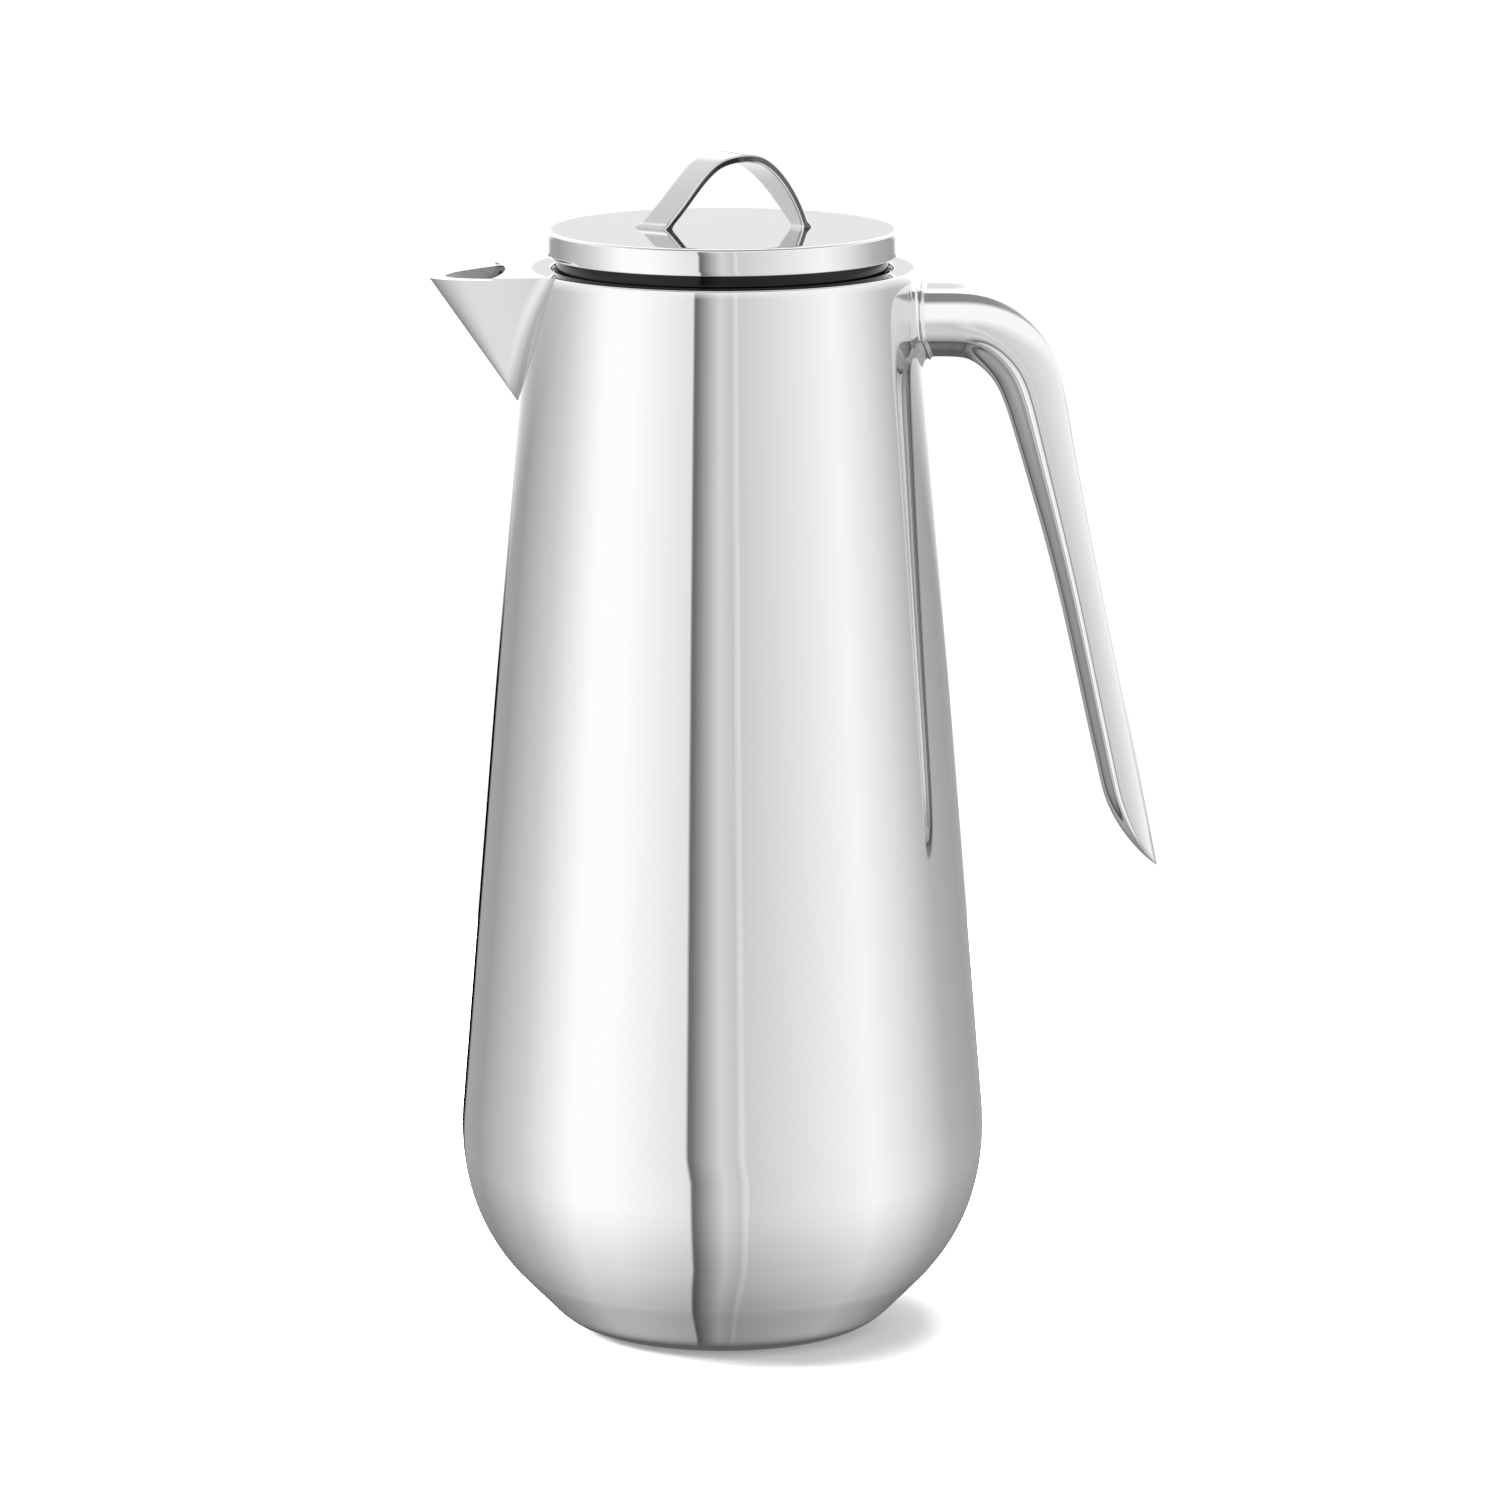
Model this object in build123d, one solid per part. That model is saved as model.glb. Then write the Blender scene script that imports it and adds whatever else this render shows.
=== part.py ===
from build123d import *
import os
from math import acos, atan2, cos, degrees, hypot, radians, sin, tan

# Coffee pot: a double-wall steel pot with a cast pointed spout, a cast open handle and a lift-off lid
# that turns a pour window shut.  Millimetres.  The origin is the middle of the base's flat face,
# +Z is up, the spout points along -X and the handle along +X.

# ---------------------------------------------------------------- driving dimensions
# pot
pot_height = 256.6            # shell, from its underside to the flat rim
rim_radius = 45.9             # outside of the rim
belly_radius = 62.65          # widest point of the shell
shell_wall = 0.8
mouth_radius = 40.6           # hole in the flat rim
lip_depth = 3.0               # turned-down edge of that hole
belly_bends = ((60.0, 12.0), (47.4, 45.0), (17.2, 90.0))   # radius, and angle below level at its end
belly_flat = 11.2             # straight stretch between the second bend and the third

# base
base_opening_radius = 26.0
base_plate_wall = 1.0
plate_overlap = 1.5
pad_proud = 0.3               # how far the silicone pad stands out of the base
pad_clearance = 0.3
seal_plug_radius = 2.0
seal_head_radius = 3.2
seal_head_height = 0.4

# flask
vacuum_gap = 8.5
liner_wall = 0.6
neck_radius = 30.0            # inside of the flask's mouth
throat_depth = 31.0           # rim to the flask's mouth
neck_height = 13.0
liner_seam_height = 34.0      # weld between liner and its bottom, above the liner's own base
foil_thickness = 0.2
foil_clearance = 0.1
foil_top_margin = 12.0
getter_radius = 5.0
getter_height = 1.6

# spout
spout_reach = 69.8            # tip to the pot's axis
spout_drop = 32.4             # rim to the foot of the keel
keel_foot_radius = 48.4
spout_root_reach = 40.5       # where the deck's edges leave the rim, along X from the axis
deck_fall = 0.065             # fall of the deck towards the tip, per mm
nose_wall = 3.8               # spout's wall at its nose, along X
channel_root_half_width = 18.2   # channel's half width where the deck's edges leave the rim
cover_reach = 51.4            # front edge of the cover plate, from the axis
cover_step = 0.5              # cover plate above the spout's walls
cover_thickness = 1.7
cover_edge_radius = 46.0      # hollow front edge of the cover plate

# pour window, through stopper, collar, seal and shell
window_top_drop = 8.0         # rim to the window's top edge
window_height = 13.0
window_top_half_width = 11.0
window_bottom_half_width = 3.5
seal_frame_wall = 1.5

# pour collar and gasket
gasket_thickness = 0.8
collar_fit = 0.05             # collar inside the rim's lip
collar_wall = 2.5
collar_top_drop = 1.5         # rim to the collar's top edge
seat_drop = 4.5               # rim to the ledge that carries the lid
collar_top_wall = 0.75
collar_floor_height = 4.0
collar_floor_edge = 2.5
floor_hole_margin = 1.5       # collar's floor hole larger than the neck

# lid
lid_gap = 2.75                # rim to the underside of the lid cap
cap_radius = 41.45
cap_height = 6.4
cap_wall = 0.9
cap_edge_radius = 0.7
core_fit = 0.05
core_recess = 0.3             # underside of the core above the cap's edge
neck_clearance = 0.4          # lid's neck inside the collar's top
lid_gasket_thickness = 0.6
core_cavity_wall = 3.0
core_roof = 3.0               # plastic between the foam and the cap

# stopper
turn_clearance = 0.4          # stopper's skirt inside the collar
skirt_wall = 2.2
ceiling_thickness = 2.2
floor_thickness = 2.0
floor_clearance = 0.7         # stopper above the collar's floor
tube_clearance = 1.6          # inlet tube inside the flask's neck
tube_wall = 4.0
tube_below_neck = 2.0
seal_height = 4.0
seal_depth = 1.4              # depth of the seal's groove
seal_play = 0.2
seal_gap = 0.3                # seal's lip to the flask's neck
seal_waist = 0.6              # hollow between the seal's two lips
fit_gap = 0.1

# bayonet
lug_reach = 1.3
lug_height = 2.5
lug_half_angle = 8.0
lug_clearance = 0.3
lug_tip_clearance = 0.4
lug_drop = 12.0               # rim to the lugs' top
close_angle = 60.0            # turn from open to shut

# screws, studs and nuts
screw_inset = 6.45            # screws from the inside of the stopper's skirt
screw_count = 3
screw_radius = 1.45
screw_head_radius = 2.7
screw_head_height = 1.8
screw_length = 7.0
screw_hole_clearance = 0.1
screw_hole_spare = 0.5        # hole deeper than the screw
boss_radius = 3.6
stud_radius = 1.0
stud_length = 3.0
nut_across = 4.0
nut_height = 1.6
nut_pocket_radius = 3.2
nut_pocket_depth = 3.4

# lid loop: outer edges of the ribbon, back and front, from the foot at the spout's side over the
# top to the foot at the handle's side; x and y from the axis, z above the lid
ribbon_thickness = 1.9
loop_back_edge = ((-21.0, 1.5, 0.0), (-11.5, 2.5, 10.1), (-6.1, 3.5, 16.0), (-0.6, 4.3, 18.1),
                  (4.8, 4.9, 16.6), (12.8, 5.6, 9.5), (18.9, 5.6, 0.0))
loop_front_edge = ((-14.3, -3.0, 0.0), (-6.1, -1.9, 8.8), (1.2, -2.4, 16.6), (7.1, -2.2, 17.7),
                   (12.0, -1.2, 16.5), (19.3, 1.3, 6.6), (21.3, 2.8, 0.0))
loop_sections = 13
loop_sink = 0.08              # share of its length by which each end of the ribbon runs into the lid

# handle: stations along the bow, each with the middle of its section (x, z below the rim), the
# direction in which the bow runs there (degrees below level), its depth and its width
handle_stations = ((42.0, -13.6, 0.0, 18.7, 24.0),
                   (52.0, -13.6, 0.0, 18.5, 23.6),
                   (59.5, -14.2, 12.0, 18.6, 23.0),
                   (65.5, -17.2, 35.0, 18.6, 22.2),
                   (70.5, -22.8, 55.0, 17.9, 21.2),
                   (73.6, -30.5, 70.0, 16.4, 20.0),
                   (76.6, -42.5, 75.0, 14.6, 18.2),
                   (81.2, -61.5, 77.5, 12.5, 16.2),
                   (85.9, -82.0, 78.0, 11.2, 14.6),
                   (91.1, -106.5, 78.0, 10.6, 13.4),
                   (96.4, -131.0, 78.0, 9.8, 12.4),
                   (100.6, -150.0, 78.0, 9.2, 11.4))
handle_crown = 2.0            # crown of the outer face above its edges
handle_inner_share = 0.62     # width of the inner round, as a share of the section's width
handle_inner_bulge = 0.75     # depth of the inner round, as a share of its half width
tail_cut_angle = 48.0         # oblique end, degrees below level
tail_tip = (104.0, -143.9)    # tip of the tail: x, and z below the rim
root_ring_proud = 0.7
root_ring_width = 1.6

# ---------------------------------------------------------------- levels and radii worked out
base_level = pad_proud
rim_level = base_level + pot_height
throat_floor = rim_level - throat_depth
liner_inset = shell_wall + vacuum_gap
neck_outer = neck_radius + liner_wall
gasket_top = throat_floor + gasket_thickness
collar_radius = mouth_radius - collar_fit
collar_bore = collar_radius - collar_wall
collar_top = rim_level - collar_top_drop
collar_seat = rim_level - seat_drop
collar_counterbore = collar_radius - collar_top_wall
collar_floor = gasket_top + collar_floor_height
window_top = rim_level - window_top_drop
window_bottom = window_top - window_height

cap_bottom = rim_level + lid_gap
cap_top = cap_bottom + cap_height
cap_ceiling = cap_top - cap_wall
core_radius = cap_radius - cap_wall - core_fit
core_bottom = cap_bottom + core_recess
neck_of_lid_radius = collar_counterbore - neck_clearance
neck_step = collar_seat + lid_gasket_thickness
skirt_radius = collar_bore - turn_clearance
skirt_bore = skirt_radius - skirt_wall
screw_circle_radius = skirt_bore - screw_inset
stopper_ceiling = neck_step - ceiling_thickness
stopper_floor = collar_floor + floor_clearance
tube_radius = neck_radius - tube_clearance
tube_bore = tube_radius - tube_wall
tube_bottom = throat_floor - neck_height - tube_below_neck
cavity_radius = skirt_bore - core_cavity_wall
cavity_top = cap_ceiling - nut_pocket_depth - core_roof
seal_middle = throat_floor - neck_height / 2
far = 200.0                   # reach of a cutting tool, larger than the pot is wide
overcut = 1.0                 # how far a cutting tool starts before the face that it cuts


# ---------------------------------------------------------------- helpers
def turned(edges):
    """A solid turned about Z from edges drawn as (radius, height)."""
    return revolve(Plane.XZ * make_face(edges), Axis.Z)


def turned_outline(points):
    """A solid turned about Z from a closed outline of straight lines."""
    return turned(Polyline(*points, close=True))


def ring(inner, outer, low, high):
    """A plain ring, or a disc where inner is nought."""
    solid = Pos(0, 0, (low + high) / 2) * Cylinder(outer, high - low)
    if inner > 0:
        solid -= Pos(0, 0, (low + high) / 2) * Cylinder(inner, high - low)
    return solid


def wedge_prism(points, low, high):
    """A prism with an outline in plan, between two heights."""
    return extrude(Pos(0, 0, low) * make_face(Polyline(*points, close=True)), high - low)


def around(count, solid):
    """A solid repeated round the Z axis, as separate solids."""
    return [Rot(0, 0, 360 * index / count) * solid for index in range(count)]


def save(name, shape):
    """One STEP file for one piece."""
    shape.label = name
    export_step(shape, f"parts/{name}.step")


# ---------------------------------------------------------------- the shell's outline
def bend_centres():
    """Centre of each belly bend as (radius, height), worked from the widest point down."""
    widest = belly_radius
    first_radius = belly_bends[0][0]
    centres = [(widest - first_radius, 0.0)]
    for (radius, end), (next_radius, _) in zip(belly_bends, belly_bends[1:]):
        r, z = centres[-1]
        step = radius - next_radius
        r += step * cos(radians(end))
        z -= step * sin(radians(end))
        if next_radius == belly_bends[-1][0]:
            r -= belly_flat * sin(radians(end))
            z -= belly_flat * cos(radians(end))
        centres.append((r, z))
    lift = base_level + belly_bends[-1][0] - centres[-1][1]
    return [(r, z + lift) for r, z in centres]


centres = bend_centres()


def cone_angle():
    """Angle between the cone's side and the vertical: the line from the rim that touches the belly."""
    across = rim_radius - centres[0][0]
    up = rim_level - centres[0][1]
    return degrees(atan2(up, across) - acos(belly_bends[0][0] / hypot(up, across)))


side_angle = cone_angle()


def side_radius(height, inset=0.0):
    """Radius of the cone's side at a height, moved inwards by inset."""
    slope = tan(radians(side_angle))
    return rim_radius + slope * (rim_level - height) - inset / cos(radians(side_angle))


def belly_edges(inset, inner_radius, top):
    """Edges of the outline, moved inwards by inset, from the base flat up the cone to a height."""
    edges = [Line((inner_radius, base_level + inset), (centres[-1][0], base_level + inset))]
    starts = [side_angle] + [-end for _, end in belly_bends[:-1]]
    for index in reversed(range(len(belly_bends))):
        radius, end = belly_bends[index]
        arc = CenterArc(centres[index], radius - inset, -end, starts[index] + end)
        if edges[-1] @ 1 != arc @ 0:
            edges.append(Line(edges[-1] @ 1, arc @ 0))
        edges.append(arc)
    edges.append(Line(edges[-1] @ 1, (side_radius(top, inset), top)))
    return edges


def closed(edges):
    """Edges joined into a closed loop with a last straight line."""
    return edges + [Line(edges[-1] @ 1, edges[0] @ 0)]


def shell_body():
    """The whole space inside the shell's outer surface."""
    edges = belly_edges(0.0, 0.0, rim_level)
    edges.append(Line(edges[-1] @ 1, (0, rim_level)))
    return turned(closed(edges))


def window_prism(margin=0.0):
    """The pour window's outline, enlarged by a margin, running outwards along -X."""
    flare = hypot(1.0, (window_top_half_width - window_bottom_half_width) / window_height)
    side = margin * flare
    low, high = window_bottom - margin, window_top + margin
    growth = (window_top_half_width - window_bottom_half_width) / window_height * margin
    bottom = window_bottom_half_width + side - growth
    top = window_top_half_width + side + growth
    outline = Polyline((-bottom, low), (bottom, low), (top, high), (-top, high), close=True)
    return extrude(Plane.YZ * make_face(outline), -far)


# ---------------------------------------------------------------- pot: shell, base and flask
pot_solid = shell_body()
window = window_prism()


def make_outer_shell():
    outer = belly_edges(0.0, base_opening_radius, rim_level)
    inner = belly_edges(shell_wall, base_opening_radius, rim_level - shell_wall)
    lip_bottom = rim_level - lip_depth
    rim = Polyline(outer[-1] @ 1, (mouth_radius, rim_level), (mouth_radius, lip_bottom),
                   (mouth_radius + shell_wall, lip_bottom),
                   (mouth_radius + shell_wall, rim_level - shell_wall), inner[-1] @ 1)
    base = Line(inner[0] @ 0, outer[0] @ 0)
    return turned(outer + [rim] + inner + [base]) - window


def make_base_plate():
    low = base_level + shell_wall
    return ring(seal_plug_radius, base_opening_radius + plate_overlap, low, low + base_plate_wall)


def make_base_pad():
    top = base_level + shell_wall
    pad = ring(0, base_opening_radius - pad_clearance, 0, top)
    return pad - ring(0, seal_head_radius + pad_clearance, top - seal_head_height - pad_clearance, top)


def make_evacuation_seal():
    plate = base_level + shell_wall
    shank = ring(0, seal_plug_radius, plate, plate + base_plate_wall)
    return shank + ring(0, seal_head_radius, plate - seal_head_height, plate)


liner_base = base_level + liner_inset
liner_seam = liner_base + liner_seam_height
shoulder_bottom = throat_floor - neck_height - (side_radius(throat_floor, liner_inset) - neck_outer)


def liner_shell():
    """Liner and its bottom in one, before they are parted at the weld."""
    outer = belly_edges(liner_inset, 0.0, shoulder_bottom)
    inner = belly_edges(liner_inset + liner_wall, 0.0, shoulder_bottom)
    neck_foot = throat_floor - neck_height
    neck = Polyline(outer[-1] @ 1, (neck_outer, neck_foot), (neck_outer, throat_floor),
                    (neck_radius, throat_floor), (neck_radius, neck_foot), inner[-1] @ 1)
    axis = Line(inner[0] @ 0, outer[0] @ 0)
    return turned(outer + [neck] + inner + [axis])


def make_copper_foil():
    """Foil round the conical part of the liner."""
    low = centres[0][1] + belly_bends[0][0] * sin(radians(side_angle))
    high = shoulder_bottom - foil_top_margin
    near = liner_inset - foil_clearance
    outside = near - foil_thickness
    return turned_outline(((side_radius(low, near), low), (side_radius(low, outside), low),
                           (side_radius(high, outside), high), (side_radius(high, near), high)))


def make_shoulder_ring():
    low = throat_floor - shell_wall
    return turned_outline(((neck_outer, low), (side_radius(low, shell_wall), low),
                           (side_radius(throat_floor, shell_wall), throat_floor),
                           (neck_outer, throat_floor)))


# ---------------------------------------------------------------- pot: spout
spout_foot = (-keel_foot_radius, rim_level - spout_drop)
spout_root_half_width = (rim_radius ** 2 - spout_root_reach ** 2) ** 0.5
nose_rise = nose_wall * (spout_drop / (spout_reach - keel_foot_radius))


def deck_point(x, y):
    """A point on the deck, which falls towards the tip."""
    return Vector(x, y, rim_level - deck_fall * (-x - spout_root_reach))


def spout_cone(tip_reach, half_width, foot_rise):
    """A pointed cone: its top edge is a parabola on the deck, and its apex is the keel's foot."""
    root, control = -spout_root_reach, spout_root_reach - 2 * tip_reach
    edge = Bezier(deck_point(root, half_width), deck_point(control, 0), deck_point(root, -half_width))
    top = Wire([edge, Line(edge @ 1, edge @ 0)])
    apex = Vertex(spout_foot[0], 0, spout_foot[1] + foot_rise)
    return Part() + Solid.make_loft([apex, top], ruled=True)


def deck_layer(thickness):
    """The layer of a thickness under the deck's plane."""
    slab = Pos(0, 0, -thickness / 2) * Box(far, far, thickness)
    return Pos(-spout_root_reach, 0, rim_level) * Rot(0, -degrees(atan2(deck_fall, 1)), 0) * slab


def cover_slab():
    """The layer taken up by the cover plate: everything on the pot's side of its hollow front edge."""
    return deck_layer(cover_thickness) - Pos(-cover_reach - cover_edge_radius, 0, rim_level) * Cylinder(
        cover_edge_radius, far)


spout_solid = spout_cone(spout_reach, spout_root_half_width, 0.0) - pot_solid


def make_spout():
    channel = spout_cone(spout_reach - nose_wall, channel_root_half_width, nose_rise)
    return spout_solid - deck_layer(cover_step) - channel - cover_slab()


def make_spout_cover():
    """Plate that bridges the channel between the rim and the opening."""
    return spout_solid & cover_slab()


def make_spout_seal():
    """Silicone frame round the window, between collar and shell."""
    space = turned_outline(((collar_radius, gasket_top), (side_radius(gasket_top, shell_wall), gasket_top),
                            (side_radius(rim_level - lip_depth, shell_wall), rim_level - lip_depth),
                            (collar_radius, rim_level - lip_depth)))
    return (window_prism(seal_frame_wall) & space) - window


# ---------------------------------------------------------------- pot: handle
def handle_section(x, drop, heading, depth, width):
    """A rounded D across the bow: crowned outer face, tapering sides, round inner side."""
    half, edge = width / 2, depth / 2 - handle_crown
    inner_half = half * handle_inner_share
    inner_edge = -depth / 2 + inner_half * handle_inner_bulge
    outline = [ThreePointArc((edge, -half), (depth / 2, 0), (edge, half)),
               Line((edge, half), (inner_edge, inner_half)),
               ThreePointArc((inner_edge, inner_half), (-depth / 2, 0), (inner_edge, -inner_half)),
               Line((inner_edge, -inner_half), (edge, -half))]
    run = Vector(cos(radians(heading)), 0, -sin(radians(heading)))
    out = Vector(sin(radians(heading)), 0, cos(radians(heading)))
    plane = Plane(origin=(x, 0, rim_level + drop), x_dir=out, z_dir=run)
    return plane * make_face(outline)


def handle_bow():
    return loft([handle_section(*station) for station in handle_stations], ruled=True)


def make_handle():
    tail = Plane(origin=(tail_tip[0], 0, rim_level + tail_tip[1]),
                 x_dir=(cos(radians(tail_cut_angle)), 0, -sin(radians(tail_cut_angle))),
                 z_dir=(-sin(radians(tail_cut_angle)), 0, -cos(radians(tail_cut_angle))))
    offcut = extrude(tail * Rectangle(far, far), far)
    return handle_bow() - pot_solid - offcut


def make_handle_root_ring():
    """Narrow ring round the handle where it is welded to the shell."""
    x, drop, heading, depth, width = handle_stations[0]
    grown = (depth + 2 * root_ring_proud, width + 2 * root_ring_proud)
    block = extrude(handle_section(x, drop, heading, *grown), far / 2)
    reach = turned(closed(ring_reach_edges()))
    return (block & reach) - pot_solid - handle_bow()


def ring_reach_edges():
    """Outline of the pot grown by the ring's width, beside the handle's root."""
    low, high = rim_level - throat_depth, rim_level
    return [Line((0, low), (side_radius(low, -root_ring_width), low)),
            Line((side_radius(low, -root_ring_width), low), (side_radius(high, -root_ring_width), high)),
            Line((side_radius(high, -root_ring_width), high), (0, high))]


# ---------------------------------------------------------------- pot: collar
def sector(inner, outer, low, high, middle, half_angle):
    """Part of a ring between two angles."""
    points = [(0, 0)]
    points += [(far * cos(radians(middle + a)), far * sin(radians(middle + a)))
               for a in (-half_angle, -half_angle / 3, half_angle / 3, half_angle)]
    return ring(inner, outer, low, high) & wedge_prism(points, low, high)


lug_top = rim_level - lug_drop
lug_bottom = lug_top - lug_height
lug_radius = skirt_radius + lug_reach
groove_radius = lug_radius + lug_tip_clearance
slot_half_angle = lug_half_angle + degrees(lug_clearance / skirt_radius)
lug_angles = (90.0, 270.0)


def make_pour_collar():
    hole = neck_radius + floor_hole_margin
    collar = turned_outline(((hole, gasket_top), (collar_radius, gasket_top), (collar_radius, collar_top),
                             (collar_counterbore, collar_top), (collar_counterbore, collar_seat),
                             (collar_bore, collar_seat), (collar_bore, collar_floor),
                             (hole, gasket_top + collar_floor_edge)))
    collar -= window
    for angle in lug_angles:
        collar -= sector(collar_bore - overcut, groove_radius, lug_bottom - lug_clearance, collar_seat,
                         angle, slot_half_angle)
        collar -= sector(collar_bore - overcut, groove_radius, lug_bottom - lug_clearance,
                         lug_top + lug_clearance, angle - close_angle / 2,
                         slot_half_angle + close_angle / 2)
    return collar


# ---------------------------------------------------------------- seal of the flask's mouth
def make_mouth_seal():
    """Silicone ring in the inlet tube's groove, with two lips towards the flask's neck."""
    inside = tube_radius - seal_depth + seal_play
    outside = neck_radius - seal_gap
    half = seal_height / 2 - seal_play
    waist = outside - seal_waist
    return turned_outline(((inside, seal_middle - half), (outside, seal_middle - half),
                           (waist, seal_middle), (outside, seal_middle + half),
                           (inside, seal_middle + half)))


# ---------------------------------------------------------------- lid: cap, core and loop
loop_back = Spline(*[Vector(x, y, z + cap_top) for x, y, z in loop_back_edge])
loop_front = Spline(*[Vector(x, y, z + cap_top) for x, y, z in loop_front_edge])


def ribbon_section(share):
    """Four corners across the ribbon at a share of its length; past an end it runs straight on."""
    at = min(max(share, 0.0), 1.0)
    past = (share - at) * loop_back.length
    back = loop_back @ at + (loop_back % at) * past
    front = loop_front @ at + (loop_front % at) * past
    along = (loop_back % at) + (loop_front % at)
    inwards = along.cross(front - back).normalized() * ribbon_thickness
    return Wire.make_polygon([back, front, front + inwards, back + inwards], close=True)


def make_lid_loop():
    shares = [i / (loop_sections - 1) for i in range(loop_sections)]
    shares = [-loop_sink] + shares + [1 + loop_sink]
    ribbon = Part() + Solid.make_loft([ribbon_section(share) for share in shares], ruled=True)
    return ribbon & Pos(0, 0, cap_top + far / 2) * Box(far, far, far)


def foot_centre(share):
    """Middle of a foot of the loop on the lid, half the ribbon's thickness in from its outer face."""
    back, front = loop_back @ share, loop_front @ share
    along = (loop_back % share) + (loop_front % share)
    inwards = along.cross(front - back).normalized() * (ribbon_thickness / 2)
    middle = (back + front) * 0.5 + inwards
    return (middle.X, middle.Y)


feet = (foot_centre(0.0), foot_centre(1.0))


def at_feet(solid):
    """A solid repeated under both feet of the loop, as separate solids."""
    return [Pos(x, y, 0) * solid for x, y in feet]


def make_lid_cap():
    skin = cap_radius - cap_wall
    cap = turned_outline(((0, cap_top), (cap_radius, cap_top), (cap_radius, cap_bottom),
                          (skin, cap_bottom), (skin, cap_ceiling), (0, cap_ceiling)))
    top_edge = cap.edges().filter_by(GeomType.CIRCLE).group_by(Axis.Z)[-1]
    cap = fillet(top_edge, cap_edge_radius)
    for hole in at_feet(ring(0, stud_radius + screw_hole_clearance, cap_ceiling, cap_top)):
        cap -= hole
    return cap


def make_loop_studs():
    return at_feet(ring(0, stud_radius, cap_top - cap_wall - stud_length, cap_top))


def make_loop_nuts():
    nut = extrude(Pos(0, 0, cap_ceiling - nut_height) * RegularPolygon(nut_across / 2, 6, major_radius=False),
                  nut_height)
    return at_feet(nut - ring(0, stud_radius, cap_ceiling - nut_height, cap_ceiling))


screw = (Pos(screw_circle_radius, 0, 0)
         * (ring(0, screw_head_radius, stopper_ceiling - screw_head_height, stopper_ceiling)
            + ring(0, screw_radius, stopper_ceiling, stopper_ceiling + screw_length)))
screw_hole = Pos(screw_circle_radius, 0, 0) * ring(
    0, screw_radius + screw_hole_clearance, stopper_ceiling, stopper_ceiling + screw_length + screw_hole_spare)
boss = Pos(screw_circle_radius, 0, 0) * ring(0, boss_radius, neck_step, cavity_top)
boss_space = Pos(screw_circle_radius, 0, 0) * ring(0, boss_radius + fit_gap, neck_step, cavity_top)


def make_lid_core():
    core = turned_outline(((0, cap_ceiling), (core_radius, cap_ceiling), (core_radius, core_bottom),
                           (neck_of_lid_radius, core_bottom), (neck_of_lid_radius, neck_step),
                           (cavity_radius, neck_step), (cavity_radius, cavity_top), (0, cavity_top)))
    for solid in around(screw_count, boss):
        core += solid
    for hole in around(screw_count, screw_hole):
        core -= hole
    for pocket in at_feet(ring(0, nut_pocket_radius, cap_ceiling - nut_pocket_depth, cap_ceiling)):
        core -= pocket
    return core


def make_stopper_foam():
    foam = ring(0, cavity_radius - fit_gap, neck_step, cavity_top - fit_gap)
    for space in around(screw_count, boss_space):
        foam -= space
    return foam


def make_stopper_body():
    body = turned_outline(((0, neck_step), (skirt_radius, neck_step), (skirt_radius, stopper_floor),
                           (skirt_bore, stopper_floor), (skirt_bore, stopper_ceiling),
                           (0, stopper_ceiling)))
    body -= window
    for angle in lug_angles:
        body += sector(skirt_radius - skirt_wall / 2, lug_radius, lug_bottom, lug_top, angle, lug_half_angle)
    for hole in around(screw_count, screw_hole):
        body -= hole
    return body


def make_stopper_base():
    groove = tube_radius - seal_depth
    half = seal_height / 2
    floor_top = stopper_floor + floor_thickness
    floor_edge = skirt_bore - fit_gap
    return turned_outline(((tube_bore, tube_bottom), (tube_radius, tube_bottom),
                           (tube_radius, seal_middle - half), (groove, seal_middle - half),
                           (groove, seal_middle + half), (tube_radius, seal_middle + half),
                           (tube_radius, stopper_floor), (floor_edge, stopper_floor),
                           (floor_edge, floor_top), (tube_bore, floor_top)))


# ---------------------------------------------------------------- write every piece
os.makedirs("parts", exist_ok=True)

liner = liner_shell()
below_seam = ring(0, far, 0, liner_seam)

pieces = {
    "outer_shell": make_outer_shell(),
    "base_plate": make_base_plate(),
    "base_pad": make_base_pad(),
    "evacuation_seal": make_evacuation_seal(),
    "inner_liner": liner - below_seam,
    "liner_bottom": liner & below_seam,
    "copper_foil": make_copper_foil(),
    "getter": ring(0, getter_radius, liner_base - getter_height, liner_base),
    "shoulder_ring": make_shoulder_ring(),
    "spout": make_spout(),
    "spout_cover": make_spout_cover(),
    "spout_seal": make_spout_seal(),
    "handle": make_handle(),
    "handle_root_ring": make_handle_root_ring(),
    "collar_gasket": ring(neck_radius + floor_hole_margin, collar_radius, throat_floor, gasket_top),
    "pour_collar": make_pour_collar(),
    "mouth_seal": make_mouth_seal(),
    "lid_cap": make_lid_cap(),
    "lid_core": make_lid_core(),
    "lid_gasket": ring(skirt_radius + fit_gap, neck_of_lid_radius, collar_seat, neck_step),
    "lid_loop": make_lid_loop(),
    "loop_studs": Compound(children=make_loop_studs()),
    "loop_nuts": Compound(children=make_loop_nuts()),
    "stopper_body": make_stopper_body(),
    "stopper_base": make_stopper_base(),
    "stopper_foam": make_stopper_foam(),
    "stopper_screws": Compound(children=around(screw_count, screw)),
}
for name, piece in pieces.items():
    save(name, piece)
print(f"side angle {side_angle:.2f} degrees, widest at {centres[0][1]:.1f} mm, top of the lid {cap_top:.1f} mm")
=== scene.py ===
from math import atan2, cos, hypot, pi, radians, sin, sqrt, tan

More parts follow.
